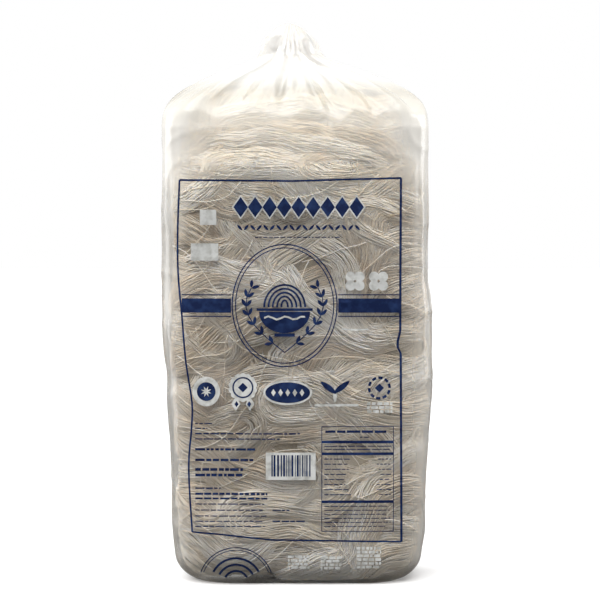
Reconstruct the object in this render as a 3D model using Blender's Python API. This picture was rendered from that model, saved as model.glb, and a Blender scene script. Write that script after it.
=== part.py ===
"""A clear film pack filled with a block of dried rice vermicelli, standing upright.

Metres, +Z up. The origin is on the ground under the pack, and the pack's front faces -Y.
The film follows the block's soft, slightly lumpy sides, turns in over its top in radial
pleats, is gathered to a narrow neck and ends in a crumpled peak.
"""

import math

import bmesh
import bpy
from mathutils import Vector, noise

# Driving dimensions
HALF_WIDTH = 0.130
HALF_DEPTH = 0.062
SHOULDER_START = 0.440
NECK_HEIGHT = 0.513
PACK_HEIGHT = 0.543
BASE_ROUND_UP = 0.026
BASE_ROUND_IN = 0.013
BASE_ROUND_IN_ENDS = 0.030
CORNER_RADIUS = 0.030
ROUNDEST_CORNER = 0.78
FRONT_CROWN = 0.004

# The block slumps: it is narrower at its foot and bulges a little to one side.
# Height, then the share of the half width that each side reaches.
LEFT_SIDE = ((0.000, 0.882), (0.060, 0.927), (0.140, 0.942), (0.190, 0.956), (0.245, 1.000), (0.440, 1.000))
RIGHT_SIDE = (
    (0.000, 0.925),
    (0.060, 0.974),
    (0.140, 1.000),
    (0.205, 1.020),
    (0.260, 1.018),
    (0.296, 0.992),
    (0.440, 0.992),
)

# The gathered top: height, share of the width, share of the depth.
NECK_SHARE = 0.225
GATHER = (
    (SHOULDER_START, 1.000, 1.000),
    (0.453, 0.990, 0.965),
    (0.463, 0.952, 0.890),
    (0.473, 0.872, 0.790),
    (0.482, 0.748, 0.680),
    (0.490, 0.605, 0.560),
    (0.498, 0.435, 0.430),
    (0.506, 0.290, 0.330),
    (NECK_HEIGHT, NECK_SHARE, 0.290),
    (0.521, 0.206, 0.300),
    (0.529, 0.176, 0.270),
    (0.536, 0.128, 0.210),
    (0.5405, 0.078, 0.130),
    (0.5425, 0.034, 0.055),
)
KNOT_SHIFT = -0.005
KNOT_LEAN = 0.18

# Pleats that run up the shoulders into the neck
PLEATS = 15
PLEAT_RISE = 0.0030
KNOT_FLUTES = 9
KNOT_FLUTE_DEPTH = 0.0028

# Soft dents and bulges of the noodles under the film
LUMP = 0.0030
LUMP_SPACING = 0.070

# How finely the solid is cut
FLAT_STEPS = 20
SIDE_STEPS = 8
CORNER_STEPS = 7
BASE_STEPS = 5
BODY_STEPS = 24
STEPS_PER_GATHER = 2


def clear_scene():
    for item in list(bpy.data.objects):
        bpy.data.objects.remove(item, do_unlink=True)


def eased(stations, height):
    """A smooth curve through stations of (height, value), level past both ends."""
    if height <= stations[0][0]:
        return stations[0][1]
    for (low, first), (high, second) in zip(stations, stations[1:]):
        if height <= high:
            share = (height - low) / (high - low)
            share = share * share * (3.0 - 2.0 * share)
            return first + (second - first) * share
    return stations[-1][1]


def spline(points, place):
    """A smooth curve through rows of numbers, read at a place from 0 to the last row."""
    last = len(points) - 1
    index = min(int(place), last - 1)
    share = place - index
    rows = [points[min(max(index + step, 0), last)] for step in (-1, 0, 1, 2)]
    weights = (
        -0.5 * share + share**2 - 0.5 * share**3,
        1.0 - 2.5 * share**2 + 1.5 * share**3,
        0.5 * share + 2.0 * share**2 - 1.5 * share**3,
        -0.5 * share**2 + 0.5 * share**3,
    )
    columns = zip(*rows)
    return [sum(weight * value for weight, value in zip(weights, column)) for column in columns]


def section(left, right, depth, radius):
    """Points and outward directions round a level section, a rectangle with round corners."""
    width = (left + right) / 2.0
    middle = (right - left) / 2.0
    radius = min(radius, ROUNDEST_CORNER * width, ROUNDEST_CORNER * depth)
    corners = (
        (1, -1, -math.pi / 2.0, SIDE_STEPS, Vector((0.0, 1.0))),
        (1, 1, 0.0, FLAT_STEPS, Vector((-1.0, 0.0))),
        (-1, 1, math.pi / 2.0, SIDE_STEPS, Vector((0.0, -1.0))),
        (-1, -1, math.pi, FLAT_STEPS, Vector((1.0, 0.0))),
    )
    outline = []
    for across, along, start, steps, heading in corners:
        centre = Vector((middle + across * (width - radius), along * (depth - radius)))
        for step in range(CORNER_STEPS + 1):
            angle = start + math.pi / 2.0 * step / CORNER_STEPS
            direction = Vector((math.cos(angle), math.sin(angle)))
            outline.append((centre + direction * radius, direction))
        run = 2.0 * ((depth if heading.y else width) - radius)
        corner_end, facing = outline[-1]
        for step in range(1, steps):
            outline.append((corner_end + heading * run * step / steps, facing))
    return outline


def swelling(point, direction, height):
    """How far the film stands out over the block: a crowned front and back, and soft lumps."""
    across = max(0.0, 1.0 - (point.x / HALF_WIDTH) ** 2)
    crown = FRONT_CROWN * across * direction.y**2
    return crown + LUMP * noise.noise(Vector((point.x, point.y, height)) / LUMP_SPACING)


def body_ring(height, under):
    """One ring of the upright body; under is 1 where the base edge has rounded all the way in."""
    left = HALF_WIDTH * eased(LEFT_SIDE, height) - BASE_ROUND_IN_ENDS * under
    right = HALF_WIDTH * eased(RIGHT_SIDE, height) - BASE_ROUND_IN_ENDS * under
    outline = section(left, right, HALF_DEPTH - BASE_ROUND_IN * under, CORNER_RADIUS)
    settled = min(1.0, height / (2.0 * BASE_ROUND_UP))
    ring = []
    for point, direction in outline:
        place = point + direction * swelling(point, direction, height) * settled
        ring.append(Vector((place.x, place.y, height)))
    return ring


def gathered_ring(place):
    """One ring of the shoulders, the neck or the topknot, at a place along GATHER."""
    height, width_share, depth_share = spline(GATHER, place)
    left = HALF_WIDTH * LEFT_SIDE[-1][1] * width_share
    right = HALF_WIDTH * RIGHT_SIDE[-1][1] * width_share
    depth = HALF_DEPTH * depth_share
    shoulder = min(1.0, max(0.0, (height - SHOULDER_START) / (NECK_HEIGHT - SHOULDER_START)))
    in_knot = height > NECK_HEIGHT
    round_off = CORNER_RADIUS * (1.0 + 0.6 * shoulder)
    rise = PLEAT_RISE * math.sin(math.pi * shoulder) ** 0.8
    flute = KNOT_FLUTE_DEPTH * (min(1.0, width_share / NECK_SHARE) if in_knot else shoulder**8)
    shift = KNOT_SHIFT * shoulder**3
    settled = 1.0 - shoulder
    lean = KNOT_LEAN * max(0.0, height - NECK_HEIGHT) / (PACK_HEIGHT - NECK_HEIGHT)
    outline = section(left, right, depth, round_off)
    ring = []
    for number, (point, direction) in enumerate(outline):
        turn = 2.0 * math.pi * number / len(outline)
        pleat = math.sin(PLEATS * turn + 1.7 * math.sin(2.0 * turn))
        fluting = math.sin(KNOT_FLUTES * turn + 1.4 * math.sin(2.0 * turn + 0.6))
        out = swelling(point, direction, height) * settled + flute * fluting
        place_now = point + direction * out
        drop = lean * max(0.0, place_now.x)
        ring.append(Vector((place_now.x + shift, place_now.y, height + rise * pleat - drop)))
    return ring


def pack_rings():
    """Every ring of the film, from the flat base to the tip of the topknot."""
    rings = []
    for step in range(BASE_STEPS):
        angle = math.pi / 2.0 * step / BASE_STEPS
        rings.append(body_ring(BASE_ROUND_UP * (1.0 - math.cos(angle)), 1.0 - math.sin(angle)))
    for step in range(BODY_STEPS):
        height = BASE_ROUND_UP + (SHOULDER_START - BASE_ROUND_UP) * step / BODY_STEPS
        rings.append(body_ring(height, 0.0))
    total = (len(GATHER) - 1) * STEPS_PER_GATHER
    for step in range(total + 1):
        rings.append(gathered_ring(step / STEPS_PER_GATHER))
    return rings


def box_middle(rings):
    """The middle of the rings' box, seen from above."""
    points = [point for ring in rings for point in ring]
    middle_x = (min(point.x for point in points) + max(point.x for point in points)) / 2.0
    middle_y = (min(point.y for point in points) + max(point.y for point in points)) / 2.0
    return Vector((middle_x, middle_y, 0.0))


def lofted(name, rings, tip, material):
    """A closed body: a flat face on the first ring, walls from ring to ring, and a tip."""
    shape = bmesh.new()
    levels = [[shape.verts.new(point) for point in ring] for ring in rings]
    count = len(levels[0])
    shape.faces.new(reversed(levels[0]))
    for lower, upper in zip(levels, levels[1:]):
        for index in range(count):
            following = (index + 1) % count
            shape.faces.new((lower[index], lower[following], upper[following], upper[index]))
    peak = shape.verts.new(tip)
    for index in range(count):
        shape.faces.new((levels[-1][index], levels[-1][(index + 1) % count], peak))
    bmesh.ops.recalc_face_normals(shape, faces=shape.faces)
    mesh = bpy.data.meshes.new(name)
    shape.to_mesh(mesh)
    shape.free()
    mesh.shade_smooth()
    mesh.materials.append(material)
    item = bpy.data.objects.new(name, mesh)
    bpy.context.scene.collection.objects.link(item)
    return item


def film_material():
    """Clear plastic film over cream noodles, seen together as one pale, soft gloss."""
    material = bpy.data.materials.new("film_over_noodles")
    material.use_nodes = True
    shader = material.node_tree.nodes["Principled BSDF"]
    shader.inputs["Base Color"].default_value = (0.47, 0.42, 0.34, 1.0)
    shader.inputs["Roughness"].default_value = 0.35
    shader.inputs["Metallic"].default_value = 0.0
    return material


def build():
    clear_scene()
    rings = pack_rings()
    middle = box_middle(rings)
    centred = [[point - middle for point in ring] for ring in rings]
    tip = Vector((KNOT_SHIFT, 0.0, PACK_HEIGHT)) - middle
    lofted("vermicelli_pack", centred, tip, film_material())


build()
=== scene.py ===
import functools
import math
import random
from collections import namedtuple

import bmesh
import bpy
from mathutils import Matrix, Vector, noise
from mathutils.bvhtree import BVHTree

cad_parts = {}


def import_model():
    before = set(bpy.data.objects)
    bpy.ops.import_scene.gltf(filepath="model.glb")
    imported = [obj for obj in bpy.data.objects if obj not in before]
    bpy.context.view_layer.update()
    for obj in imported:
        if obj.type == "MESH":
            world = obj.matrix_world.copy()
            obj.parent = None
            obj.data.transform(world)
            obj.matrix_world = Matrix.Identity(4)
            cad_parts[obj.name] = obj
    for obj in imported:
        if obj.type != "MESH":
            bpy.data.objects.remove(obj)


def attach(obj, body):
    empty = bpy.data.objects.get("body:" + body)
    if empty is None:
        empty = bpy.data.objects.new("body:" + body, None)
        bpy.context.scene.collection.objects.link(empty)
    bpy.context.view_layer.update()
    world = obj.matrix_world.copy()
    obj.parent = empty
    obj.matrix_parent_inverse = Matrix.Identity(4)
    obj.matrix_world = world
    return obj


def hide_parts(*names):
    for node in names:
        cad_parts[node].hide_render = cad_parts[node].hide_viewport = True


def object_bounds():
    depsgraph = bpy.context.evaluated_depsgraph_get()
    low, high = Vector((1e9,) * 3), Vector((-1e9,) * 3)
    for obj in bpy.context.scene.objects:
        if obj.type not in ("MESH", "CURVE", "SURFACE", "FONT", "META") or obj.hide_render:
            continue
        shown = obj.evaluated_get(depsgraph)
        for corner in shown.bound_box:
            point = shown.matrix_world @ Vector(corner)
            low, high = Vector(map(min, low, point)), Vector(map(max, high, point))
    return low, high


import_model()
cad_low, cad_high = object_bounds()

PACK = "vermicelli_pack"
MM = 0.001

# The film's form, as the CAD solid has it
HALF_WIDTH = 0.130
HALF_DEPTH = 0.062
SHOULDER_START = 0.440
NECK_HEIGHT = 0.513
PACK_HEIGHT = 0.543
BASE_ROUND_UP = 0.026
BASE_ROUND_IN = 0.013
BASE_ROUND_IN_ENDS = 0.030
CORNER_RADIUS = 0.030
ROUNDEST_CORNER = 0.78
FRONT_CROWN = 0.004
LEFT_SIDE = (
    (0.000, 0.882),
    (0.060, 0.927),
    (0.140, 0.942),
    (0.190, 0.956),
    (0.245, 1.000),
    (0.440, 1.000),
)
RIGHT_SIDE = (
    (0.000, 0.925),
    (0.060, 0.974),
    (0.140, 1.000),
    (0.205, 1.020),
    (0.260, 1.018),
    (0.296, 0.992),
    (0.440, 0.992),
)
NECK_SHARE = 0.225
GATHER = (
    (SHOULDER_START, 1.000, 1.000),
    (0.453, 0.990, 0.965),
    (0.463, 0.952, 0.890),
    (0.473, 0.872, 0.790),
    (0.482, 0.748, 0.680),
    (0.490, 0.605, 0.560),
    (0.498, 0.435, 0.430),
    (0.506, 0.290, 0.330),
    (NECK_HEIGHT, NECK_SHARE, 0.290),
    (0.521, 0.206, 0.300),
    (0.529, 0.176, 0.270),
    (0.536, 0.128, 0.210),
    (0.5405, 0.078, 0.130),
    (0.5425, 0.034, 0.055),
)
KNOT_SHIFT = -0.005
KNOT_LEAN = 0.18
PLEATS = 15
PLEAT_RISE = 0.0030
KNOT_FLUTES = 9
KNOT_FLUTE_DEPTH = 0.0021
LUMP = 0.0030
LUMP_SPACING = 0.070
SHOULDER_ROUNDING = 0.6

# Wrinkles that the film has over the CAD solid: how far apart, and how far they stand out
UPRIGHT_SPACING = 0.0075
UPRIGHT_LENGTH = 0.085
UPRIGHT_RISE = 0.0008
PUCKER_SPACING = 0.024
PUCKER_RISE = 0.0003
CREASE_SPACING = 0.050
CREASE_RISE = 0.0006
RIPPLE_RISE = 0.0020
DOUBLED_RISE = 0.0012
CRUMPLE_COARSE = 0.0085
CRUMPLE_FINE = 0.0042
CRUMPLE_RISE = 0.0008

# Shares of one turn round a section: four corners, two sides, a front and a back
CORNER_SHARE = 7 / 84
SIDE_SHARE = 8 / 84
FLAT_SHARE = 20 / 84


# ---- shapes of the film and the block

def eased(stations, height):
    """A smooth curve through stations of (height, value), level past both ends."""
    if height <= stations[0][0]:
        return stations[0][1]
    for (low, first), (high, second) in zip(stations, stations[1:]):
        if height <= high:
            return first + (second - first) * smooth(low, high, height)
    return stations[-1][1]


def smooth(low, high, value):
    """0 below low, 1 above high, and a soft step between."""
    share = min(1.0, max(0.0, (value - low) / (high - low)))
    return share * share * (3.0 - 2.0 * share)


def spline(points, place):
    """A smooth curve through rows of numbers, read at a place from 0 to the last row."""
    last = len(points) - 1
    index = min(int(place), last - 1)
    share = place - index
    rows = [points[min(max(index + step, 0), last)] for step in (-1, 0, 1, 2)]
    weights = (
        -0.5 * share + share**2 - 0.5 * share**3,
        1.0 - 2.5 * share**2 + 1.5 * share**3,
        0.5 * share + 2.0 * share**2 - 1.5 * share**3,
        -0.5 * share**2 + 0.5 * share**3,
    )
    columns = zip(*rows)
    return [sum(weight * value for weight, value in zip(weights, column)) for column in columns]


def round_section(turn, left, right, depth, radius):
    """The point and outward direction at a share of a turn round a rectangle with round corners."""
    width = (left + right) / 2.0
    middle = (right - left) / 2.0
    radius = min(radius, ROUNDEST_CORNER * width, ROUNDEST_CORNER * depth)
    legs = (
        (1, -1, -0.5, SIDE_SHARE, Vector((0.0, 1.0))),
        (1, 1, 0.0, FLAT_SHARE, Vector((-1.0, 0.0))),
        (-1, 1, 0.5, SIDE_SHARE, Vector((0.0, -1.0))),
        (-1, -1, 1.0, FLAT_SHARE, Vector((1.0, 0.0))),
    )
    turn %= 1.0
    for across, along, start, run_share, heading in legs:
        if turn < CORNER_SHARE + run_share or (across, along) == (-1, -1):
            centre = Vector((middle + across * (width - radius), along * (depth - radius)))
            angle = math.pi * (start + 0.5 * min(1.0, turn / CORNER_SHARE))
            direction = Vector((math.cos(angle), math.sin(angle)))
            point = centre + direction * radius
            run = 2.0 * ((depth if heading.y else width) - radius)
            return point + heading * run * max(0.0, turn - CORNER_SHARE) / run_share, direction
        turn -= CORNER_SHARE + run_share


def swelling(point, direction, height):
    """How far the film stands out over the block: a crowned front and back, and soft lumps."""
    across = max(0.0, 1.0 - (point.x / HALF_WIDTH) ** 2)
    crown = FRONT_CROWN * across * direction.y**2
    return crown + LUMP * noise.noise(Vector((point.x, point.y, height)) / LUMP_SPACING)


Level = namedtuple("Level", "height left right depth corner shrink settled shoulder knot share")

FOOT_RISE = 0.05
EDGE_RISE = 0.10
SHOULDER_RISE = 0.68
TIP_RISE = 0.985


@functools.lru_cache(maxsize=None)
def film_level(rise):
    """The size of the film's section at a share of the way from the middle of its foot to its tip."""
    if rise < SHOULDER_RISE:
        under, height, shrink = 0.0, 0.0, 1.0
        if rise < FOOT_RISE:
            under, shrink = 1.0, rise / FOOT_RISE
        elif rise < EDGE_RISE:
            angle = math.pi / 2.0 * (rise - FOOT_RISE) / (EDGE_RISE - FOOT_RISE)
            under, height = 1.0 - math.sin(angle), BASE_ROUND_UP * (1.0 - math.cos(angle))
        else:
            way = (rise - EDGE_RISE) / (SHOULDER_RISE - EDGE_RISE)
            height = BASE_ROUND_UP + (SHOULDER_START - BASE_ROUND_UP) * way
        left = HALF_WIDTH * eased(LEFT_SIDE, height) - BASE_ROUND_IN_ENDS * under
        right = HALF_WIDTH * eased(RIGHT_SIDE, height) - BASE_ROUND_IN_ENDS * under
        depth = HALF_DEPTH - BASE_ROUND_IN * under
        settled = min(1.0, height / (2.0 * BASE_ROUND_UP))
        return Level(height, left, right, depth, CORNER_RADIUS, shrink, settled, 0.0, 0.0, 1.0)
    place = (len(GATHER) - 1) * min(1.0, (rise - SHOULDER_RISE) / (TIP_RISE - SHOULDER_RISE))
    height, width_share, depth_share = spline(GATHER, place)
    shrink = 1.0
    if rise > TIP_RISE:
        way = (rise - TIP_RISE) / (1.0 - TIP_RISE)
        height += (PACK_HEIGHT - height) * way
        shrink = 1.0 - way
    shoulder = min(1.0, max(0.0, (height - SHOULDER_START) / (NECK_HEIGHT - SHOULDER_START)))
    knot = max(0.0, height - NECK_HEIGHT) / (PACK_HEIGHT - NECK_HEIGHT)
    left = HALF_WIDTH * LEFT_SIDE[-1][1] * width_share
    right = HALF_WIDTH * RIGHT_SIDE[-1][1] * width_share
    depth = HALF_DEPTH * depth_share
    corner = CORNER_RADIUS * (1.0 + SHOULDER_ROUNDING * shoulder)
    return Level(height, left, right, depth, corner, shrink, 1.0 - shoulder, shoulder, knot, width_share)


def film_section(turn, rise):
    """The film's level section, then the point and outward direction at a share of a turn round it."""
    level = film_level(rise)
    return level, *round_section(turn, level.left, level.right, level.depth, level.corner)


def film_creases(place, level):
    """Fine wrinkles of the film: long upright ones by the pack's edges, and small creases all over."""
    by_edge = smooth(0.080, 0.118, abs(place.x)) * level.settled
    across, along = place.x / UPRIGHT_SPACING, place.y / UPRIGHT_SPACING
    upright = noise.noise(Vector((across, along, place.z / UPRIGHT_LENGTH)))
    pucker = noise.noise(place / PUCKER_SPACING + Vector((3.7, 1.1, 0.0)))
    flattened = Vector((place.x, place.y, 1.7 * place.z))
    ridge = 1.0 - abs(noise.noise(flattened / CREASE_SPACING + Vector((9.0, 0.0, 4.0))))
    body = UPRIGHT_RISE * by_edge * upright + PUCKER_RISE * pucker + CREASE_RISE * ridge**9
    return level.settled * body


def round_about(turn):
    """The direction at a share of a turn."""
    angle = 2.0 * math.pi * turn
    return Vector((math.cos(angle), math.sin(angle), 0.0))


def folded_over(turn, level):
    """How far the gathered film is doubled over, from 0 to 1: thin lines that run into the neck."""
    heading = round_about(turn)
    line = noise.noise(heading * 4.3 + Vector((5.0, 2.0, level.height * 9.0)))
    second = noise.noise(heading * 7.7 + Vector((1.0, 8.0, level.height * 13.0)))
    return max(smooth(0.16, 0.0, abs(line)), 0.8 * smooth(0.13, 0.0, abs(second)))


def gather_folds(turn, place, level):
    """Folds of the gathered film, running up into the neck: (how far up, how far out)."""
    angle = 2.0 * math.pi * turn
    pleat = math.sin(PLEATS * angle + 1.7 * math.sin(2.0 * angle))
    fine = noise.noise(round_about(turn) * 7.0 + Vector((0.0, 0.0, place.z * 9.0)))
    arch = math.sin(math.pi * level.shoulder)
    ridge = folded_over(turn, level)
    rippled = RIPPLE_RISE * fine + DOUBLED_RISE * ridge - DOUBLED_RISE
    up = PLEAT_RISE * max(0.0, arch) ** 0.8 * pleat + arch * rippled
    flute = math.sin(KNOT_FLUTES * angle + 1.4 * math.sin(2.0 * angle + 0.6))
    deep = min(1.0, level.share / NECK_SHARE) if level.knot > 0.0 else level.shoulder**8
    crumple = noise.noise(place / CRUMPLE_COARSE) + 0.6 * noise.noise(place / CRUMPLE_FINE)
    out = KNOT_FLUTE_DEPTH * deep * flute + CRUMPLE_RISE * level.shoulder**6 * crumple
    return up, out


def film_fold(turn, rise):
    """How folded the film is at a share of a turn and of the way up."""
    level = film_level(rise)
    return folded_over(turn, level) * smooth(0.30, 0.60, level.shoulder)


def film_bunch(turn, rise):
    """How bunched the film is: most on the four upright corners."""
    point = film_section(turn, rise)[1]
    return smooth(0.096, 0.126, abs(point.x)) * smooth(0.018, 0.048, abs(point.y))


def film_gather(turn, rise):
    """How much spare film is drawn in at the two ends of the front and back, under the gathered top."""
    level, point = film_section(turn, rise)[:2]
    at_end = smooth(0.066, 0.112, abs(point.x)) * smooth(0.0, 0.048, abs(point.y))
    return at_end * smooth(0.360, 0.425, level.height)


def film_form(turn, rise):
    """The film's surface at a share of a turn and of the way up."""
    level, point, direction = film_section(turn, rise)
    height = level.height
    place = Vector((point.x, point.y, height))
    up, out = gather_folds(turn, place, level) if level.shoulder else (0.0, 0.0)
    out += swelling(point, direction, height) * level.settled + film_creases(place, level)
    point = (point + direction * out) * level.shrink
    drop = KNOT_LEAN * level.knot * max(0.0, point.x)
    shift = KNOT_SHIFT * level.shoulder**3
    return Vector((point.x + shift, point.y, height + up * level.shrink - drop))


# The core of the block, which shows only in the gaps between the strands
CORE_DEPTH = 0.0100
CORE_DEPTH_RIGHT = 0.0080
CORE_TOP = 0.4660
CORE_FOOT = 0.0060
TOP_SLOPE_IN = 0.045
TOP_SLOPE_DOWN = 0.070
SIDE_SLOPE_SHARE = 0.30
FOOT_ROUND = 0.022
CROWN = 0.016
LOOSE_LEFT_GAP = 0.0050
LOOSE_HEIGHTS = (0.25, 0.32)
DENT = 0.0030
DENT_SPACING = 0.036
DOME_UNEVEN = 0.004
DOME_SPACING = 0.045
CAP_RISE = 0.12
FOOT_ROUND_RISE = 0.05
TOP_SLOPE_RISE = 0.14


@functools.lru_cache(maxsize=None)
def core_level(rise):
    """The height of the core's section, how far its rounded edges draw it in, and its shrink."""
    foot_end, top_start = CAP_RISE + FOOT_ROUND_RISE, 1.0 - CAP_RISE - TOP_SLOPE_RISE
    if rise < CAP_RISE:
        return CORE_FOOT, FOOT_ROUND, rise / CAP_RISE
    if rise < foot_end:
        angle = math.pi / 2.0 * (rise - CAP_RISE) / FOOT_ROUND_RISE
        return CORE_FOOT + FOOT_ROUND * (1.0 - math.cos(angle)), FOOT_ROUND * (1.0 - math.sin(angle)), 1.0
    if rise < top_start:
        low, high = CORE_FOOT + FOOT_ROUND, CORE_TOP - TOP_SLOPE_DOWN
        return low + (high - low) * (rise - foot_end) / (top_start - foot_end), 0.0, 1.0
    if rise < 1.0 - CAP_RISE:
        way = (rise - top_start) / TOP_SLOPE_RISE
        return CORE_TOP - TOP_SLOPE_DOWN * (1.0 - way), TOP_SLOPE_IN * way**1.2, 1.0
    return CORE_TOP, TOP_SLOPE_IN, (1.0 - rise) / CAP_RISE


def core_form(turn, rise):
    """The core's surface: the film's form drawn in, sloped to a domed top and dented between the hanks."""
    height, inset, shrink = core_level(rise)
    side_inset = inset * (SIDE_SLOPE_SHARE if height > HALF_WIDTH else 1.0)
    loose = LOOSE_LEFT_GAP * smooth(*LOOSE_HEIGHTS, height)
    left = HALF_WIDTH * eased(LEFT_SIDE, height) - CORE_DEPTH - side_inset - loose
    right = HALF_WIDTH * eased(RIGHT_SIDE, height) - CORE_DEPTH_RIGHT - side_inset
    point, direction = round_section(turn, left, right, HALF_DEPTH - CORE_DEPTH - inset, CORNER_RADIUS)
    flattened = Vector((point.x, point.y, 1.4 * height))
    dent = abs(noise.noise(flattened / DENT_SPACING + Vector((2.0, 7.0, 5.0))))
    point = (point + direction * (swelling(point, direction, height) - DENT * dent)) * shrink
    top = smooth(CORE_TOP - TOP_SLOPE_DOWN / 2.0, CORE_TOP, height)
    uneven = DOME_UNEVEN * noise.noise(point.to_3d() / DOME_SPACING)
    dome = CROWN * (1.0 - (point.x / HALF_WIDTH) ** 2) + uneven
    return Vector((point.x, point.y, height + top * dome))


# ---- making meshes

# Points closer than this are one point
SEAM = 1e-6


def placed(name, data):
    """A new object in the scene, at the origin."""
    item = bpy.data.objects.new(name, data)
    bpy.context.scene.collection.objects.link(item)
    return item


def finished(name, shape, material, smooth_shaded=True):
    """Turns a bmesh into an object that stands at the origin."""
    mesh = bpy.data.meshes.new(name)
    shape.to_mesh(mesh)
    shape.free()
    mesh.materials.append(material)
    if smooth_shaded:
        mesh.shade_smooth()
    return placed(name, mesh)


def run_lengths(points):
    """How far along a line each of its points lies."""
    lengths = [0.0]
    for first, second in zip(points, points[1:]):
        lengths.append(lengths[-1] + (second - first).length)
    return lengths


def wrapped_skin(form, around, up, marks=()):
    """A grid bent round into one closed skin by form.

    Each mark is a name and a function, and becomes a number on the skin's points.
    """
    shape = bmesh.new()
    bmesh.ops.create_grid(shape, x_segments=around, y_segments=up, size=0.5)
    layers = [(shape.verts.layers.float.new(name), mark) for name, mark in marks]
    for vert in shape.verts:
        turn, rise = vert.co.x + 0.5, min(1.0, max(0.0, vert.co.y + 0.5))
        vert.co = form(turn, rise)
        for layer, mark in layers:
            vert[layer] = mark(turn, rise)
    bmesh.ops.remove_doubles(shape, verts=shape.verts, dist=SEAM)
    bmesh.ops.recalc_face_normals(shape, faces=shape.faces)
    return shape


# ---- noodles

STRAND_DIAMETER = 0.00092
STRAND_STEP = 0.0080
STRAND_SIDES = 3
TONES = 12
FILM_CLEARANCE = 0.0010
PRESSES = 2
ROUTE_STEPS = 8

# Strands in a hank: sway, length of a sway, share of the depth, raggedness of the ends, spread of tone
SWAY = (0.0003, 0.0012)
SWAY_LENGTH = (0.040, 0.090)
DEPTH_SHARE = (0.76, 1.0)
RAGGED_END = 0.10
TONE_SPREAD = 0.045

Station = namedtuple("Station", "place normal across")
Strand = namedtuple("Strand", "points tone")


def turned(vector, axis, angle):
    """A direction turned about an axis."""
    return Matrix.Rotation(angle, 3, axis) @ vector


def combed_heading(place, normal, level_way, layer):
    """The way the noodles lie at a place: a slow swirl about the level line, calmer round the sides."""
    drift = Vector((0.0, 0.0, 3.1 * layer))
    swirl = noise.noise(place / 0.088 + drift) + 0.45 * noise.noise(place / 0.040 + drift * 2.0)
    calm = 1.0 - 0.72 * smooth(0.076, 0.112, abs(place.x))
    return turned(level_way, normal, calm * (2.6 * swirl + 0.15))


def combed_route(block, start, length, layer, stray):
    """A hank's centre line that follows the lie of the noodles, a little off it by stray."""
    halves = []
    for way in (1.0, -1.0):
        place, normal = block.find_nearest(start)[:2]
        half = []
        for _ in range(int(length / 2.0 / STRAND_STEP)):
            level_way = normal.cross(Vector((0.0, 0.0, 1.0)))
            if level_way.length < 0.2:
                level_way = Vector((1.0, 0.0, 0.0))
            combed = combed_heading(place, normal, level_way.normalized(), layer)
            heading = turned(combed, normal, stray) * way
            half.append((place, normal, heading * way))
            place, normal = block.find_nearest(place + heading * STRAND_STEP)[:2]
        halves.append(half)
    line = halves[1][:0:-1] + halves[0]
    return [Station(place, normal, normal.cross(heading)) for place, normal, heading in line]


def laid_route(block, corners, side):
    """A hank's centre line through chosen corners (x, z) in millimetres, laid on one face."""
    laid = [(x * MM, side * HALF_DEPTH, z * MM) for x, z in corners]
    count = (len(laid) - 1) * ROUTE_STEPS + 1
    fine = [Vector(spline(laid, place / ROUTE_STEPS)) for place in range(count)]
    lengths = run_lengths(fine)
    count = max(4, int(lengths[-1] / (STRAND_STEP * 0.75)))
    places = []
    index = 0
    for step in range(count + 1):
        wanted = lengths[-1] * step / count
        while index < len(fine) - 2 and lengths[index + 1] < wanted:
            index += 1
        way = (wanted - lengths[index]) / max(lengths[index + 1] - lengths[index], SEAM)
        places.append(block.find_nearest(fine[index].lerp(fine[index + 1], way))[:2])
    route = []
    for step, (place, normal) in enumerate(places):
        heading = (places[min(step + 1, count)][0] - places[max(step - 1, 0)][0]).normalized()
        route.append(Station(place, normal, normal.cross(heading).normalized()))
    return route


def hank_strands(block, route, width, lift, plump, tone, dice, fullness=1.2):
    """The strands of one hank: a rounded bundle side by side, swaying and crossing a little."""
    strands = []
    count = int(fullness * width / STRAND_DIAMETER)
    for number in range(count):
        lane = (number + dice.random()) / count - 0.5
        sway = dice.uniform(*SWAY)
        sway_length = dice.uniform(*SWAY_LENGTH)
        phase = dice.uniform(0.0, 2.0 * math.pi)
        depth = dice.uniform(*DEPTH_SHARE)
        first = int(dice.uniform(0.0, RAGGED_END) * len(route))
        last = len(route) - int(dice.uniform(0.0, RAGGED_END) * len(route))
        points = []
        for step in range(first, last):
            station = route[step]
            share = (step - first) / max(1, last - first - 1)
            swing = sway * math.sin(2.0 * math.pi * step * STRAND_STEP / sway_length + phase)
            waist = 0.82 + 0.18 * math.sin(math.pi * step / len(route))
            tuck = 1.0 - smooth(0.0, 0.22, min(share, 1.0 - share))
            height = (lift + plump * math.sqrt(1.0 - 4.0 * lane * lane) * depth) * (1.0 - 0.75 * tuck)
            spot = station.place + station.across * (lane * width * waist + swing)
            surface, normal = block.find_nearest(spot)[:2]
            points.append(surface + normal * height)
        if len(points) > 3:
            # Strands that sit lower in the hank take a darker tone: painted shade.
            strands.append(Strand(points, tone + dice.gauss(0.0, TONE_SPREAD) + 0.16 * (depth - 0.88)))
    return strands


def pressed(point):
    """Keeps a strand's point inside the film, flat against it where the block presses out."""
    for _ in range(PRESSES):
        surface, normal = film_skin.find_nearest(point)[:2]
        out = (point - surface).dot(normal) + FILM_CLEARANCE
        if out > 0.0:
            point = point - normal * out
    return point


def strand_profile():
    """The few-sided section that every strand is swept with."""
    curve = bpy.data.curves.new("strand_profile", "CURVE")
    curve.dimensions = "2D"
    outline = curve.splines.new("POLY")
    outline.points.add(STRAND_SIDES - 1)
    outline.use_cyclic_u = True
    radius = STRAND_DIAMETER / 2.0
    for number, point in enumerate(outline.points):
        angle = -2.0 * math.pi * number / STRAND_SIDES
        point.co = (math.cos(angle) * radius, math.sin(angle) * radius, 0.0, 1.0)
    return placed("strand_profile", curve)


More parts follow.
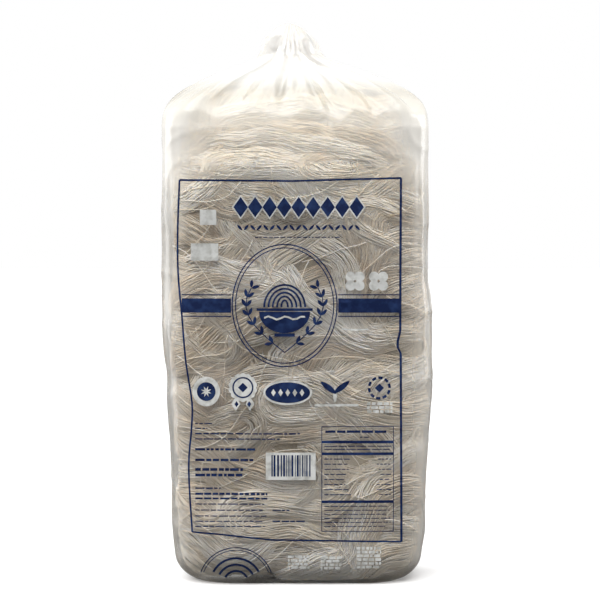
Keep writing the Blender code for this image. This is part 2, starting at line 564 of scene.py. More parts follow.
def swept_strands(name, strands, material):
    """Every strand of a piece, swept along its own line and made one mesh that keeps each one's tone."""
    guide = strand_profile()
    curve = bpy.data.curves.new(name, "CURVE")
    curve.dimensions = "3D"
    curve.bevel_mode = "OBJECT"
    curve.bevel_object = guide
    curve.use_fill_caps = True
    for _ in range(TONES):
        curve.materials.append(material)
    for strand in strands:
        line = curve.splines.new("POLY")
        line.points.add(len(strand.points) - 1)
        inside = [pressed(point) for point in strand.points]
        line.points.foreach_set("co", [value for point in inside for value in (*point, 1.0)])
        line.material_index = round(min(1.0, max(0.0, strand.tone)) * (TONES - 1))
    sweep = placed(name, curve)
    graph = bpy.context.evaluated_depsgraph_get()
    mesh = bpy.data.meshes.new_from_object(sweep.evaluated_get(graph))
    bpy.data.objects.remove(sweep)
    bpy.data.objects.remove(guide)
    shape = bmesh.new()
    shape.from_mesh(mesh)
    bpy.data.meshes.remove(mesh)
    tone = shape.faces.layers.float.new("tone")
    for face in shape.faces:
        face[tone] = face.material_index / (TONES - 1)
        face.material_index = 0
    bmesh.ops.remove_doubles(shape, verts=shape.verts, dist=SEAM)
    return finished(name, shape, material)


# ---- print

# The print is drawn in millimetres, laid at this scale and this far up, in small cells that
# follow the film. Navy lies over white, and the white motifs on navy lie over both.
PRINT_SCALE = 0.974
PRINT_FOOT = 5.2
INK_CELL = 0.0022
WHITE_LIFT = 0.00016
NAVY_LIFT = 0.00026
OVER_LIFT = 0.00036
INK_THICKNESS = 0.00006


def laid_sheet(ink, along, across, form):
    """One flat patch of ink, a grid whose points form puts at (x, z) on the pack's front."""
    made = bmesh.ops.create_grid(ink, x_segments=max(1, along), y_segments=max(1, across), size=0.5)
    for vert in made["verts"]:
        x, z = form(vert.co.x + 0.5, vert.co.y + 0.5)
        vert.co = Vector((x * PRINT_SCALE * MM, 0.0, (PRINT_FOOT + z * PRINT_SCALE) * MM))
    bmesh.ops.remove_doubles(ink, verts=made["verts"], dist=SEAM)


def cells(length):
    """How many cells of ink a length in millimetres takes."""
    return max(1, math.ceil(length * MM / INK_CELL))


def bar(ink, x0, z0, x1, z1):
    """An upright rectangle of ink between two corners, in millimetres."""
    laid_sheet(ink, cells(x1 - x0), cells(z1 - z0), lambda u, v: (x0 + (x1 - x0) * u, z0 + (z1 - z0) * v))


def ring(ink, x, z, outer, inner, start=0.0, end=360.0, lobes=0, depth=0.0):
    """A ring, or an arc of one, between two pairs of radii, its edge scalloped where it has lobes."""
    around = max(12, cells(math.radians(end - start) * max(outer)), lobes * 6)
    across = cells(max(outer) - max(inner))

    def form(u, v):
        angle = math.radians(start + (end - start) * u)
        scallop = 1.0 + depth * abs(math.sin(lobes * angle / 2.0)) * v
        wide = (inner[0] + (outer[0] - inner[0]) * v) * scallop
        tall = (inner[1] + (outer[1] - inner[1]) * v) * scallop
        return x + wide * math.cos(angle), z + tall * math.sin(angle)

    laid_sheet(ink, around, across, form)


def disc(ink, x, z, wide, tall, start=0.0, end=360.0, lobes=0, depth=0.0):
    """A filled oval, or a sector of one, in millimetres and degrees."""
    ring(ink, x, z, (wide, tall), (0.0, 0.0), start, end, lobes, depth)


def lozenge(ink, x, z, wide, tall):
    """A diamond of ink, by its full width and height."""
    size = cells(math.hypot(wide, tall) / 2.0)
    laid_sheet(ink, size, size, lambda u, v: (x + wide * (u - v) / 2.0, z + tall * (u + v - 1.0) / 2.0))


def leaf(ink, x, z, length, width, tilt):
    """A pointed oval, such as a leaf or a grain of rice, turned by tilt."""
    cosine, sine = math.cos(math.radians(tilt)), math.sin(math.radians(tilt))

    def form(u, v):
        along = length * (u - 0.5)
        across = width * (v - 0.5) * math.sin(math.pi * u) ** 0.7
        return x + along * cosine - across * sine, z + along * sine + across * cosine

    laid_sheet(ink, max(4, cells(length)), cells(width), form)


def ribbon(ink, path, thickness):
    """A line of ink of even thickness along a path of (x, z), in millimetres."""
    points = [Vector(point) for point in path]
    lengths = run_lengths(points)

    def form(u, v):
        wanted = u * lengths[-1]
        index = 0
        while index < len(points) - 2 and lengths[index + 1] < wanted - SEAM:
            index += 1
        way = (wanted - lengths[index]) / (lengths[index + 1] - lengths[index])
        heading = (points[min(index + 2, len(points) - 1)] - points[max(index - 1, 0)]).normalized()
        side = Vector((-heading.y, heading.x))
        return points[index].lerp(points[index + 1], way) + side * thickness * (v - 0.5)

    laid_sheet(ink, cells(lengths[-1]), cells(thickness), form)


def dashes(ink, x0, x1, z, height, dice, longest=10.0):
    """A line of small print, kept to bars of the length of words."""
    x = x0
    while x < x1 - 1.0:
        word = min(dice.uniform(0.25, 1.0) * longest, x1 - x)
        bar(ink, x, z - height / 2.0, x + word, z + height / 2.0)
        x += word + dice.uniform(0.9, 1.6)


def printed_on(film_skin, ink, lift):
    """Lays the ink on the film: each point goes straight back on to it, and stands off by lift."""
    offset = Vector(((cad_low.x + cad_high.x) / 2.0, 0.0, 0.0))
    ahead = Vector((0.0, 1.0, 0.0))
    missed = []
    for vert in ink.verts:
        start = Vector((vert.co.x, cad_low.y * 2.0, vert.co.z)) + offset
        hit, normal = film_skin.ray_cast(start, ahead)[:2]
        if hit is None:
            missed.append(vert)
        else:
            vert.co = hit + normal * lift
    bmesh.ops.delete(ink, geom=missed, context="VERTS")
    bmesh.ops.recalc_face_normals(ink, faces=ink.faces)
    facing_in = [face for face in ink.faces if face.normal.y > 0.0]
    bmesh.ops.reverse_faces(ink, faces=facing_in)
    bmesh.ops.solidify(ink, geom=ink.faces[:], thickness=INK_THICKNESS)
    bmesh.ops.recalc_face_normals(ink, faces=ink.faces)


# ---- materials

def paint(code):
    """A colour from its sRGB hex code, made linear."""
    channels = [int(code[place:place + 2], 16) / 255.0 for place in (1, 3, 5)]
    linear = [value / 12.92 if value <= 0.04045 else ((value + 0.055) / 1.055) ** 2.4 for value in channels]
    return (*linear, 1.0)


def new_material(name):
    """A material with no nodes yet."""
    material = bpy.data.materials.new(name)
    material.use_nodes = True
    material.node_tree.nodes.clear()
    return material


def node(material, kind, settings=None, links=None):
    """Adds one node, with its settings and what feeds its inputs."""
    made = material.node_tree.nodes.new(kind)
    for key, value in (settings or {}).items():
        if isinstance(key, str) and hasattr(made, key):
            setattr(made, key, value)
        else:
            made.inputs[key].default_value = value
    for key, source in (links or {}).items():
        material.node_tree.links.new(source, made.inputs[key])
    return made


def ramped(material, value, *entries):
    """A value turned into a colour, through stops of (place, sRGB code)."""
    ramp = node(material, "ShaderNodeValToRGB", links={"Fac": value})
    elements = ramp.color_ramp.elements
    while len(elements) < len(entries):
        elements.new(0.5)
    for element, (place, code) in zip(elements, entries):
        element.position = place
        element.color = paint(code)
    return ramp.outputs["Color"]


def mapped(material, value, low, high, least, most):
    """A value turned from low..high into least..most."""
    limits = {"From Min": low, "From Max": high, "To Min": least, "To Max": most}
    return node(material, "ShaderNodeMapRange", limits, {"Value": value}).outputs["Result"]


def own_place(material):
    """Where a point lies on its own piece, in metres."""
    return node(material, "ShaderNodeTexCoord").outputs["Object"]


def height_of(material, place):
    """The height of a point."""
    return node(material, "ShaderNodeSeparateXYZ", links={"Vector": place}).outputs["Z"]


def stored(material, name):
    """A number that a piece stores on its points or faces."""
    return node(material, "ShaderNodeAttribute", {"attribute_name": name}).outputs["Fac"]


def surfaced(material, shader):
    """The material, with a shader as its surface."""
    node(material, "ShaderNodeOutputMaterial", links={"Surface": shader.outputs[0]})
    return material


def clear_film():
    """Blown polyethylene film: thin, clear, softly glossy, and milky where bunched, gathered or folded."""
    material = new_material("blown_polyethylene_film")
    place = own_place(material)
    height = height_of(material, place)
    # Haze in clouds some 50 mm across, and more of it towards the gathered top
    cloud = node(material, "ShaderNodeTexNoise", {"Scale": 20.0, "Detail": 3.0}, {"Vector": place})
    haze = mapped(material, cloud.outputs["Fac"], 0.35, 0.75, 0.04, 0.18)
    for source, low, high, most in (
        (height, 0.372, 0.456, 0.50),
        (height, 0.470, 0.488, 0.34),
        (height, 0.492, 0.512, -0.36),
        (stored(material, "bunched"), 0.0, 1.0, 0.33),
        (stored(material, "gathered"), 0.0, 1.0, 0.42),
        (stored(material, "fold"), 0.0, 1.0, 0.10),
    ):
        share = mapped(material, source, low, high, 0.0, most)
        haze = node(material, "ShaderNodeMath", {"operation": "ADD"}, {0: haze, 1: share}).outputs[0]
    # The haze's colour is painted light and shade by height: creamy over the block, greyer over the empty
    # shoulder and white in the knot.
    shade = ramped(
        material,
        mapped(material, height, 0.440, 0.510, 0.0, 1.0),
        (0.0, "#F8F4EC"),
        (0.30, "#DAD6CC"),
        (0.50, "#CECBC2"),
        (0.75, "#E6E5E1"),
        (1.0, "#F7F6F3"),
    )
    clear = node(material, "ShaderNodeBsdfTransparent", {"Color": paint("#FDFDFC")})
    milky = node(material, "ShaderNodeBsdfDiffuse", links={"Color": shade})
    body = node(material, "ShaderNodeMixShader", links={0: haze, 1: clear.outputs[0], 2: milky.outputs[0]})
    shine = node(material, "ShaderNodeBsdfGlossy", {"Color": paint("#FFFFFF"), "Roughness": 0.22})
    mirror = node(material, "ShaderNodeFresnel", {"IOR": 1.5})
    glossed = {0: mirror.outputs[0], 1: body.outputs[0], 2: shine.outputs[0]}
    return surfaced(material, node(material, "ShaderNodeMixShader", links=glossed))


def dried_strands():
    """Extruded rice starch, dried: cream strands, a little glassy, each its own tone from pale to tan, with
    painted shade on deeper strands and painted light by height.
    """
    material = new_material("dried_rice_starch_strands")
    place = own_place(material)
    patchy = node(material, "ShaderNodeTexNoise", {"Scale": 26.0, "Detail": 1.5}, {"Vector": place})
    tone = node(
        material,
        "ShaderNodeMix",
        {"data_type": "FLOAT", 0: 0.35},
        {2: stored(material, "tone"), 3: patchy.outputs["Fac"]},
    )
    shade = ramped(material, tone.outputs[0], (0.12, "#B9A48E"), (0.46, "#EDE0CF"), (0.78, "#FFFAF3"))
    # Painted light by height: the strands are greyer low down, paler higher up and warmer near the block's
    # top, where the light from above falls strongest.
    rise = mapped(material, height_of(material, place), 0.330, 0.480, 0.0, 1.0)
    painted_light_by_height = ramped(material, rise, (0.0, "#F1EFEC"), (0.3, "#FFFFFC"), (0.7, "#FFF8EC"), (1.0, "#F2E6D0"))
    multiplied = {"data_type": "RGBA", "blend_type": "MULTIPLY", 0: 1.0}
    tone_with_painted_light = node(material, "ShaderNodeMix", multiplied, {6: shade, 7: painted_light_by_height})
    skin = node(
        material,
        "ShaderNodeBsdfPrincipled",
        {
            "Roughness": 0.48,
            "IOR": 1.5,
            "Subsurface Weight": 0.6,
            "Subsurface Radius": (1.0, 0.80, 0.58),
            "Subsurface Scale": 0.0012,
        },
        {"Base Color": tone_with_painted_light.outputs[2]},
    )
    return surfaced(material, skin)


def packed_core():
    """The same starch deep in the block, where strands press together, painted darker as painted shade where
    little light reaches.
    """
    material = new_material("dried_rice_starch_core")
    # Lines 1.2 mm apart, swirled over some 60 mm, stand for the strands below the modelled ones, with
    # painted shade in the dark between them.
    lines = node(
        material,
        "ShaderNodeTexWave",
        {"bands_direction": "Z", "Scale": 260.0, "Distortion": 110.0, "Detail": 1.0, "Detail Scale": 0.06},
        {"Vector": own_place(material)},
    )
    shade = ramped(material, lines.outputs["Fac"], (0.25, "#7C6E58"), (0.75, "#D2C5AC"))
    pressed_in = {"Strength": 0.8, "Distance": 0.0006}
    relief = node(material, "ShaderNodeBump", pressed_in, {"Height": lines.outputs["Fac"]})
    skin = node(
        material,
        "ShaderNodeBsdfPrincipled",
        {"Roughness": 0.6, "IOR": 1.5},
        {"Base Color": shade, "Normal": relief.outputs["Normal"]},
    )
    return surfaced(material, skin)


def flexo_ink(name, full, thin):
    """Flexographic ink on film: an even coat, thinner in small patches, with the film's soft gloss."""
    material = new_material(name)
    patches = {"Scale": 130.0, "Detail": 3.0}
    mottle = node(material, "ShaderNodeTexNoise", patches, {"Vector": own_place(material)})
    coat = ramped(material, mottle.outputs["Fac"], (0.42, full), (0.68, thin))
    gloss = {"Roughness": 0.38, "IOR": 1.5, "Specular IOR Level": 0.16}
    return surfaced(material, node(material, "ShaderNodeBsdfPrincipled", gloss, {"Base Color": coat}))


# ---- the film and the core

film_paint = clear_film()
strand_paint = dried_strands()
navy_paint = flexo_ink("navy_flexo_ink", "#12224A", "#253A66")
white_paint = flexo_ink("white_flexo_ink", "#E4E5E2", "#BABAB4")

film_marks = (("fold", film_fold), ("bunched", film_bunch), ("gathered", film_gather))
film_shape = wrapped_skin(film_form, 336, 270, film_marks)
own_low = Vector([min(vert.co[axis] for vert in film_shape.verts) for axis in range(3)])
own_high = Vector([max(vert.co[axis] for vert in film_shape.verts) for axis in range(3)])
# The CAD solid is centred on its own box, so the film and the block move with it.
centring = (cad_low + cad_high - own_low - own_high) / 2.0
centring.z = 0.0
bmesh.ops.translate(film_shape, verts=film_shape.verts, vec=centring)
film_skin = BVHTree.FromBMesh(film_shape)
film = finished("film", film_shape, film_paint)
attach(film, "root")
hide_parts(PACK)
# Thin film hardly dims the light on the noodles behind it.
film.visible_shadow = False

core_shape = wrapped_skin(core_form, 120, 110)
bmesh.ops.translate(core_shape, verts=core_shape.verts, vec=centring)
block = BVHTree.FromBMesh(core_shape)
core = finished("noodle_core", core_shape, packed_core())
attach(core, "root")


# ---- the hanks of noodles

Layer = namedtuple("Layer", "number lift plump tone")

# Painted shade by depth: the under layers take darker tones and the over layer paler ones.
UNDER = Layer(1, (0.0003, 0.0009), 0.0022, 0.38)
MIDDLE = Layer(2, (0.0014, 0.0022), 0.0027, 0.50)
OVER = Layer(3, (0.0026, 0.0034), 0.0034, 0.62)

# Lengths and widths of the hanks, and how far their tones stray from the layer's
FACE_LENGTH = (0.17, 0.26)
FACE_WIDTH = (0.020, 0.034)
FACE_TONE = (-0.40, 0.34)
FACE_STRAY = 11.0
SIDE_LENGTH = (0.10, 0.17)
SIDE_WIDTH = (0.016, 0.026)
SIDE_TONE = 0.22
TOP_HANKS = 13
TOP_LENGTH = 0.14
TOP_WIDTH = (0.018, 0.028)
TOP_LIFT = (0.0010, 0.0030)
TOP_TONE = 0.12
LOOSE_LENGTH = (0.05, 0.13)
LOOSE_LIFT = (0.0060, 0.0068)
LOOSE_STRAY = 24.0


def face_hanks(side, layer, across, up, dice):
    """Hanks combed over the front (-1) or the back (1), one from each cell of a loose grid."""
    strands = []
    for row in range(up):
        for column in range(across):
            x = HALF_WIDTH * (-1.0 + 2.0 * (column + dice.random()) / across)
            z = 0.002 + 0.466 * (row + dice.random()) / up
            start = Vector((x, side * HALF_DEPTH, z))
            stray = math.radians(dice.uniform(-FACE_STRAY, FACE_STRAY))
            route = combed_route(block, start, dice.uniform(*FACE_LENGTH), layer.number, stray)
            width = dice.uniform(*FACE_WIDTH)
            tone = layer.tone + dice.uniform(*FACE_TONE)
            lift = dice.uniform(*layer.lift)
            strands += hank_strands(block, route, width, lift, layer.plump, tone, dice)
    return strands


def side_hanks(side, layer, rows, dice):
    """Hanks that run nearly level round the left (-1) or right (1) side and over its corners."""
    strands = []
    for row in range(rows):
        z = 0.004 + 0.455 * (row + dice.random()) / rows
        y = dice.uniform(-0.8, 0.8) * HALF_DEPTH
        start = Vector((side * HALF_WIDTH, y, z))
        route = combed_route(block, start, dice.uniform(*SIDE_LENGTH), layer.number, 0.0)
        tone = layer.tone + dice.uniform(-SIDE_TONE, SIDE_TONE)
        width = dice.uniform(*SIDE_WIDTH)
        lift = dice.uniform(*layer.lift)
        strands += hank_strands(block, route, width, lift, layer.plump, tone, dice)
    return strands


def bow(x, z, reach, gap, tilt):
    """The corners of a hank that doubles back on itself round a bend."""
    turn = Matrix.Rotation(math.radians(tilt), 2)
    shape = ((-gap, -reach), (-gap, -reach * 0.4), (-gap * 0.9, 0.0), (-gap * 0.55, gap * 0.75), (0.0, gap))
    whole = shape + tuple((-across, along) for across, along in reversed(shape[:-1]))
    return [tuple(turn @ Vector(corner) + Vector((x, z))) for corner in whole]


# Thick folded hanks on the slope over the front: width, plumpness and tone,
# then the corners (x, z) of each centre line, in millimetres
FRONT_FOLDS = (
    (28.0, 6.0, 0.92, ((-102, 450), (-76, 463), (-40, 472), (3, 477), (48, 471), (84, 458), (104, 440))),
    (22.0, 6.5, 1.0, ((-106, 430), (-80, 442), (-45, 445), (-10, 439), (28, 428), (76, 417), (106, 410))),
    (22.0, 6.5, 0.42, ((24, 455), (62, 447), (92, 431), (108, 407))),
    (20.0, 4.0, 0.56, ((6, 411), (-32, 416), (-66, 417), (-85, 409), (-79, 400), (-48, 398), (-8, 402))),
    (21.0, 4.0, 0.45, ((86, 418), (48, 422), (20, 418), (5, 406), (13, 394), (44, 391), (92, 398))),
    (20.0, 3.5, 0.95, ((-92, 384), (-72, 396), (-38, 401), (0, 397), (26, 386))),
)


def folded_hanks(side, folds, dice, heights=OVER.lift):
    """Hanks whose bends show at the face, laid over the others."""
    strands = []
    for width, plump, tone, corners in folds:
        route = laid_route(block, corners, side)
        tone += dice.uniform(-0.10, 0.16)
        lift = dice.uniform(*heights)
        fullness = 1.1 + 0.07 * plump
        strands += hank_strands(block, route, width * MM, lift, plump * MM, tone, dice, fullness)
    return strands


def scattered_bows(count, dice):
    """Bends of hanks here and there on a face."""
    folds = []
    for number in range(count):
        x = dice.uniform(-78.0, 78.0)
        z = 40.0 + 360.0 * (number + dice.random()) / count
        tilt = dice.choice((-90.0, 90.0)) + dice.uniform(-55.0, 55.0)
        corners = bow(x, z, dice.uniform(35.0, 60.0), dice.uniform(12.0, 19.0), tilt)
        folds.append((dice.uniform(13.0, 20.0), OVER.plump / MM, OVER.tone, corners))
    return folds


def loose_strands(side, count, dice):
    """Single strands that wander across the hanks, just under the film."""
    strands = []
    for _ in range(count):
        x, z = HALF_WIDTH * dice.uniform(-0.95, 0.95), dice.uniform(0.02, 0.46)
        stray = math.radians(dice.gauss(0.0, LOOSE_STRAY))
        start = Vector((x, side * HALF_DEPTH, z))
        route = combed_route(block, start, dice.uniform(*LOOSE_LENGTH), dice.uniform(0.0, 9.0), stray)
        lift = dice.uniform(*LOOSE_LIFT)
        points = [station.place + station.normal * lift for station in route]
        strands.append(Strand(points, dice.uniform(0.35, 0.85)))
    return strands


def top_hanks(dice):
    """Hanks lying across the top of the block, from front to back."""
    strands = []
    for number in range(TOP_HANKS):
        x = HALF_WIDTH * (-0.85 + 1.7 * (number + dice.random()) / TOP_HANKS)
        start = Vector((x, dice.uniform(-0.02, 0.02), CORE_TOP + 0.01))
        route = combed_route(block, start, TOP_LENGTH, 5, 0.9)
        lift, width = dice.uniform(*TOP_LIFT), dice.uniform(*TOP_WIDTH)
        tone = OVER.tone + dice.uniform(-TOP_TONE, TOP_TONE)
        strands += hank_strands(block, route, width, lift, OVER.plump, tone, dice)
    return strands


def foot_hanks(side, dice):
    """Hanks that lie level round the block's foot at the front (-1) or the back (1)."""
    level = (
        (30.0, 2.2, 0.60, ((-104, 9), (-52, 13), (0, 10), (52, 12), (104, 9))),
        (26.0, 2.2, 0.50, ((-106, 28), (-40, 22), (30, 27), (108, 24))),
    )
    return folded_hanks(side, level, dice, UNDER.lift)


hank_pieces = {
    "front_hanks_under": face_hanks(-1, UNDER, 4, 8, random.Random(3)) + foot_hanks(-1, random.Random(31)),
    "front_hanks_middle": face_hanks(-1, MIDDLE, 4, 8, random.Random(5)),
    "front_hanks_over": face_hanks(-1, OVER, 3, 7, random.Random(8))
    + folded_hanks(-1, FRONT_FOLDS + tuple(scattered_bows(9, random.Random(21))), random.Random(9))
    + loose_strands(-1, 80, random.Random(19)),
    "back_hanks_under": face_hanks(1, MIDDLE, 4, 8, random.Random(7)) + foot_hanks(1, random.Random(32)),
    "back_hanks_over": face_hanks(1, OVER, 3, 7, random.Random(12))
    + folded_hanks(1, scattered_bows(12, random.Random(22)), random.Random(14))
    + loose_strands(1, 80, random.Random(23)),
    "side_hanks": side_hanks(-1, MIDDLE, 30, random.Random(11))
    + side_hanks(1, MIDDLE, 30, random.Random(13)),
    "top_hanks": top_hanks(random.Random(17)),
}
for name, strands in hank_pieces.items():
    hanks = swept_strands(name, strands, strand_paint)
    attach(hanks, "root")


# ---- the print on its front

# The frame's left line, as (z, x)
FRAME_LEFT = (
    (394, -115), (340, -117), (300, -116.5), (262, -113), (215, -109),
    (176, -103), (150, -103.5), (110, -106.5), (48, -103),
)
BAND_Z = 271.0
MEDALLION = (-12.0, 271.0)


def frame_lines(navy):
    """The thin line round the print, which wavers where the film does."""
    left_line = [tuple(reversed(spline(FRAME_LEFT, step / 4))) for step in range(33)]
    ribbon(navy, left_line, 1.8)
    ribbon(navy, [(-115, 394), (-4, 393), (102, 396)], 1.9)
    ribbon(navy, [(102, 396), (101.5, 300), (101.5, 246), (99, 236), (99, 230), (102, 224), (103, 38)], 2.3)
    ribbon(navy, [(-103, 48), (-77, 46), (-24, 40), (103, 38)], 1.7)


def title(navy, white):
    """A row of joined lozenges, a row of rice grains under it, and a fine broken line."""
    for number in range(9):
        x = -55.0 + 14.2 * number
        lozenge(white, x, 367.5, 17.5, 24.0)
        lozenge(navy, x, 367.5, 14.2, 20.0)
    for number in range(19):
        leaf(navy, -56.0 + 6.4 * number, 347.5, 7.6, 2.6, 48.0 if number % 2 else 132.0)
    dashes(navy, -41.0, 42.0, 338.0, 0.9, random.Random(41), 6.0)


def rice_ear(navy, x, z, side):
    """An ear of rice: a stem that bows outwards and up, with grains in pairs."""
    stem = [(x + side * 38.0 * math.sin(step * 0.30), z + 9.0 * step) for step in range(8)]
    ribbon(navy, stem, 1.0)
    for number, (stem_x, stem_z) in enumerate(stem[1:]):
        lean = 90.0 - side * (62.0 - 17.0 * number)
        for way in (-1, 1):
            angle = lean + way * 34.0
            reach = 4.6
            grain_x = stem_x + reach * math.cos(math.radians(angle))
            grain_z = stem_z + reach * math.sin(math.radians(angle))
            leaf(navy, grain_x, grain_z, 8.6, 3.4, angle)


def medallion(navy, over):
    """An upright oval with a bowl of noodles between two ears of rice, on a plain band."""
    x, z = MEDALLION
    ring(navy, x, z, (52.0, 60.5), (50.8, 59.3))
    ring(navy, x, z, (48.6, 57.1), (47.6, 56.1))
    for ends in ((-113.0, x - 52.5), (x + 52.5, 101.0)):
        bar(navy, ends[0], BAND_Z - 7.0, ends[1], BAND_Z + 7.0)
        for edge in (-10.6, 10.6):
            bar(navy, ends[0], BAND_Z + edge - 0.5, ends[1], BAND_Z + edge + 0.5)
    for side in (-1, 1):
        rice_ear(navy, x, z - 46.0, side)
    disc(navy, x, z - 6.0, 25.0, 21.0, 180.0, 360.0)
    bar(navy, x - 10.0, z - 30.5, x + 10.0, z - 27.2)
    bar(navy, x - 27.5, z - 5.2, x + 27.5, z - 2.6)
    ribbon(over, [(x - 20.0 + 4.0 * step, z - 12.0 + 1.6 * math.sin(1.5 * step)) for step in range(11)], 1.8)
    for number in range(5):
        reach = 21.0 - 4.2 * number
        ring(navy, x, z - 1.6, (reach, 4.0 + reach * 0.9), (reach - 1.9, 2.1 + reach * 0.9), 0.0, 180.0)


def quatrefoil(white, x, z, size):
    """Four round petals and a middle."""
    for number in range(4):
        angle = math.radians(45.0 + 90.0 * number)
        reach, petal = size * 0.36, size * 0.30
        disc(white, x + reach * math.cos(angle), z + reach * math.sin(angle), petal, petal)


def badges(navy, white, over):
    """A row of five plain tokens, each a different simple shape with a white rim."""
    z = 186.5
    disc(white, -89.0, z, 13.5, 14.5)
    disc(navy, -89.0, z, 9.2, 9.2)
    for tilt in (25.0, 70.0, 115.0, 160.0):
        leaf(over, -89.0, z, 11.0, 1.8, tilt)
    disc(white, -53.0, z + 4.0, 13.0, 13.0, lobes=14, depth=0.10)
    for side in (-1, 1):
        lozenge(white, -53.0 + side * 7.0, z - 12.0, 9.0, 14.0)
    ring(navy, -53.0, z + 4.0, (10.4, 10.4), (8.9, 8.9))
    lozenge(navy, -53.0, z + 4.0, 9.5, 9.5)
    for side in (-1, 1):
        lozenge(navy, -53.0 + side * 6.2, z - 12.2, 4.0, 6.0)
    disc(white, -9.0, z - 1.0, 24.0, 12.2)
    disc(navy, -9.0, z - 1.0, 22.0, 10.2)
    for number in range(5):
        lozenge(over, -9.0 + 7.0 * (number - 2), z - 1.0, 4.6, 7.4)
    leaf(navy, 31.0, z + 4.0, 20.0, 5.6, 142.0)
    leaf(navy, 44.0, z + 4.5, 20.0, 5.6, 38.0)
    leaf(white, 37.5, z - 3.0, 16.0, 4.0, 90.0)
    bar(white, 17.5, z - 14.6, 60.5, z - 12.2)
    for number in range(10):
        angle = 36.0 * number
        ring(navy, 81.0, z + 3.5, (11.4, 11.4), (8.8, 8.8), angle, angle + 24.0)
    lozenge(navy, 81.0, z + 3.5, 9.0, 9.0)
    white_lines(white, 69.0, z - 21.5, 94.0, z - 10.0, 3.8, random.Random(61))


def white_lines(white, x0, z0, x1, z1, pitch, dice):
    """A block of short white bars in rows, between two corners."""
    rows = round((z1 - z0) / pitch)
    for row in range(rows):
        z = z0 + (z1 - z0) * (row + 0.5) / rows
        dashes(white, x0, x1, z, 0.74 * pitch, dice, 7.0)


def small_print(navy):
    """Lines of small print, as bars only."""
    dice = random.Random(43)
    lines = (
        (155.0, -83.0, 1.1), (150.2, -88.0, 1.1), (145.0, 3.0, 1.3), (139.8, -17.0, 1.1),
        (129.5, -41.0, 2.2), (119.0, -41.0, 2.4), (109.5, -53.0, 2.8), (104.0, -53.0, 2.8),
        (91.0, -75.0, 1.4), (85.5, -29.0, 2.2), (81.0, -29.0, 1.8), (75.5, -32.0, 1.0),
        (69.6, -32.0, 1.0), (63.8, -30.0, 1.0), (58.6, -34.0, 1.0), (53.6, -31.0, 1.0),
    )
    for z, end, height in lines:
        dashes(navy, -100.0, end, z, height, dice)
    dashes(navy, -24.0, -6.0, 69.6, 1.3, dice)
    dashes(navy, -24.0, 9.0, 58.6, 1.3, dice)


def stripe_block(navy, white):
    """A white box of upright stripes of uneven width."""
    dice = random.Random(47)
    bar(white, -30.5, 99.5, 18.5, 126.5)
    x = -25.0
    while x < 12.5:
        width = dice.choice((0.7, 0.9, 1.3, 1.9))
        bar(navy, x, 103.0, x + width, 124.0)
        x += width + dice.choice((0.8, 1.1, 1.6))


def table(navy):
    """A ruled table: an outline, three heavy rules, and rows of bars."""
    dice = random.Random(53)
    low_x, high_x, low_z, high_z = 24.5, 95.0, 48.5, 152.0
    for z in (low_z, high_z):
        bar(navy, low_x, z - 0.35, high_x, z + 0.35)
    for x in (low_x, high_x):
        bar(navy, x - 0.35, low_z, x + 0.35, high_z)
    for z in (136.8, 125.2, 78.0):
        bar(navy, low_x, z - 1.35, high_x, z + 1.35)
    dashes(navy, 28.0, 88.0, 147.0, 2.4, dice, 14.0)
    dashes(navy, 62.0, 72.0, 141.5, 1.0, dice, 6.0)
    for z in (132.6, 129.4):
        dashes(navy, 27.0, 93.0, z, 0.9, dice, 16.0)
    for number in range(8):
        z = 120.0 - 5.0 * number
        dashes(navy, 27.0, 46.0 + dice.uniform(0.0, 8.0), z, 0.9, dice)
        dashes(navy, 78.0 + dice.uniform(0.0, 6.0), 92.5, z, 0.9, dice, 6.0)
    for number in range(6):
        dashes(navy, 27.0, 93.0 - dice.uniform(0.0, 14.0), 73.5 - 4.0 * number, 0.8, dice, 12.0)


def next_print(navy, white):
    """The top of the next repeat of the print, cut off at the pack's foot."""
    ring(navy, -60.0, -4.0, (37.0, 37.0), (36.0, 36.0), 18.0, 162.0)
    ring(navy, -60.0, -4.0, (34.4, 34.4), (33.6, 33.6), 20.0, 160.0)
    for number in range(3):
        reach = 26.0 - 6.5 * number
        ring(navy, -60.0, -3.0, (reach, reach), (reach - 2.2, reach - 2.2), 26.0, 154.0)
    dice = random.Random(67)
    white_lines(white, -9.0, 10.5, 12.5, 25.0, 3.6, dice)
    white_lines(white, 23.5, 10.0, 44.0, 24.0, 3.5, dice)
    white_lines(white, 59.0, 11.0, 83.0, 33.5, 3.7, dice)


navy = bmesh.new()
white = bmesh.new()
over = bmesh.new()
frame_lines(navy)
title(navy, white)
medallion(navy, over)
for x in (57.0, 80.0):
    quatrefoil(white, x, 295.0, 17.0)
bar(white, -95.0, 350.0, -79.0, 365.0)
bar(white, -104.0, 315.0, -77.0, 332.0)
ribbon(white, [(44.0, 248.0), (58.0, 247.0), (70.0, 247.5)], 1.6)
badges(navy, white, over)
small_print(navy)
stripe_block(navy, white)
table(navy)
next_print(navy, white)

for name, ink, lift, ink_paint in (
    ("white_print", white, WHITE_LIFT, white_paint),
    ("navy_print", navy, NAVY_LIFT, navy_paint),
    ("white_print_over_navy", over, OVER_LIFT, white_paint),
):
    printed_on(film_skin, ink, lift)
    layer = finished(name, ink, ink_paint, smooth_shaded=False)
    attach(layer, "root")


# ---- floor, lights and camera

# How bright the tent is as a soft fill, and as it shows in the film's gloss
FILL = 0.28
REFLECTED = 0.92


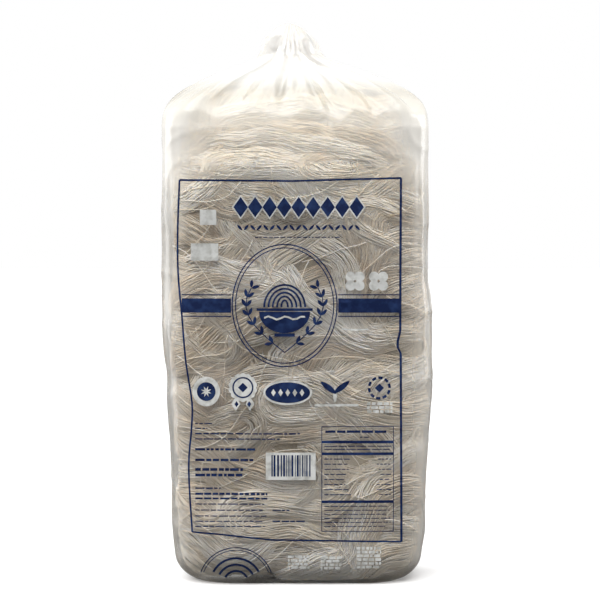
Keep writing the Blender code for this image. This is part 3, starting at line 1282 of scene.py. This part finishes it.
def studio():
    """A white table that throws little light back up on to the pack."""
    floor_shape = bmesh.new()
    bmesh.ops.create_grid(floor_shape, x_segments=1, y_segments=1, size=12.0)
    bmesh.ops.translate(floor_shape, verts=floor_shape.verts, vec=(0.0, 0.0, -0.0004))
    floor_paint = new_material("white_acrylic_table")
    path = node(floor_paint, "ShaderNodeLightPath")
    shade = ramped(floor_paint, path.outputs["Is Camera Ray"], (0.0, "#727272"), (1.0, "#FCFCFC"))
    surfaced(floor_paint, node(floor_paint, "ShaderNodeBsdfDiffuse", links={"Color": shade}))
    finished("floor", floor_shape, floor_paint, smooth_shaded=False)


def facing(place, aim):
    """The turn that points a lamp or a camera from a place at an aim."""
    return (Vector(aim) - Vector(place)).to_track_quat("-Z", "Y").to_euler()


def lamp(name, kind, place, aim, power, size):
    """A sun, sized by its angle, or a softbox, sized by its two sides."""
    light = bpy.data.lights.new(name, kind)
    light.energy = power
    if kind == "SUN":
        light.angle = size
    else:
        light.shape = "RECTANGLE"
        light.size, light.size_y = size
    holder = placed(name, light)
    holder.location = place
    holder.rotation_euler = facing(place, aim)


def world():
    """A white tent: plain white behind the pack, bright in reflections, and a soft fill from all round."""
    sky = bpy.data.worlds.new("white_tent")
    sky.use_nodes = True
    sky.node_tree.nodes.clear()
    path = node(sky, "ShaderNodeLightPath")
    wall = backdrop(sky, FILL)
    for kind, strength in (("Is Glossy Ray", REFLECTED), ("Is Camera Ray", 1.0)):
        choice = {0: path.outputs[kind], 1: wall, 2: backdrop(sky, strength)}
        wall = node(sky, "ShaderNodeMixShader", links=choice).outputs[0]
    node(sky, "ShaderNodeOutputWorld", links={"Surface": wall})
    bpy.context.scene.world = sky


def backdrop(sky, strength):
    """White light of one strength."""
    white_light = {"Color": (1.0, 1.0, 1.0, 1.0), "Strength": strength}
    return node(sky, "ShaderNodeBackground", white_light).outputs[0]


studio()
world()
lamp("overhead_softbox", "SUN", (-0.35, -0.75, 2.0), (0.0, 0.0, 0.0), 3.9, math.radians(60.0))
lamp("left_softbox", "AREA", (-1.1, 0.25, 0.45), (0.0, 0.0, 0.30), 4.8, (0.5, 0.9))
lamp("right_softbox", "AREA", (1.1, 0.20, 0.62), (0.0, 0.0, 0.36), 6.2, (0.5, 0.9))

camera_data = bpy.data.cameras.new("camera")
camera_data.lens = 140.5
camera_data.sensor_width = 36.0
camera = placed("camera", camera_data)
camera.location = (0.003, -2.30, 0.36)
camera.rotation_euler = facing(camera.location, (0.003, 0.0, 0.272))
bpy.context.scene.camera = camera
bpy.context.scene.view_settings.view_transform = "Standard"
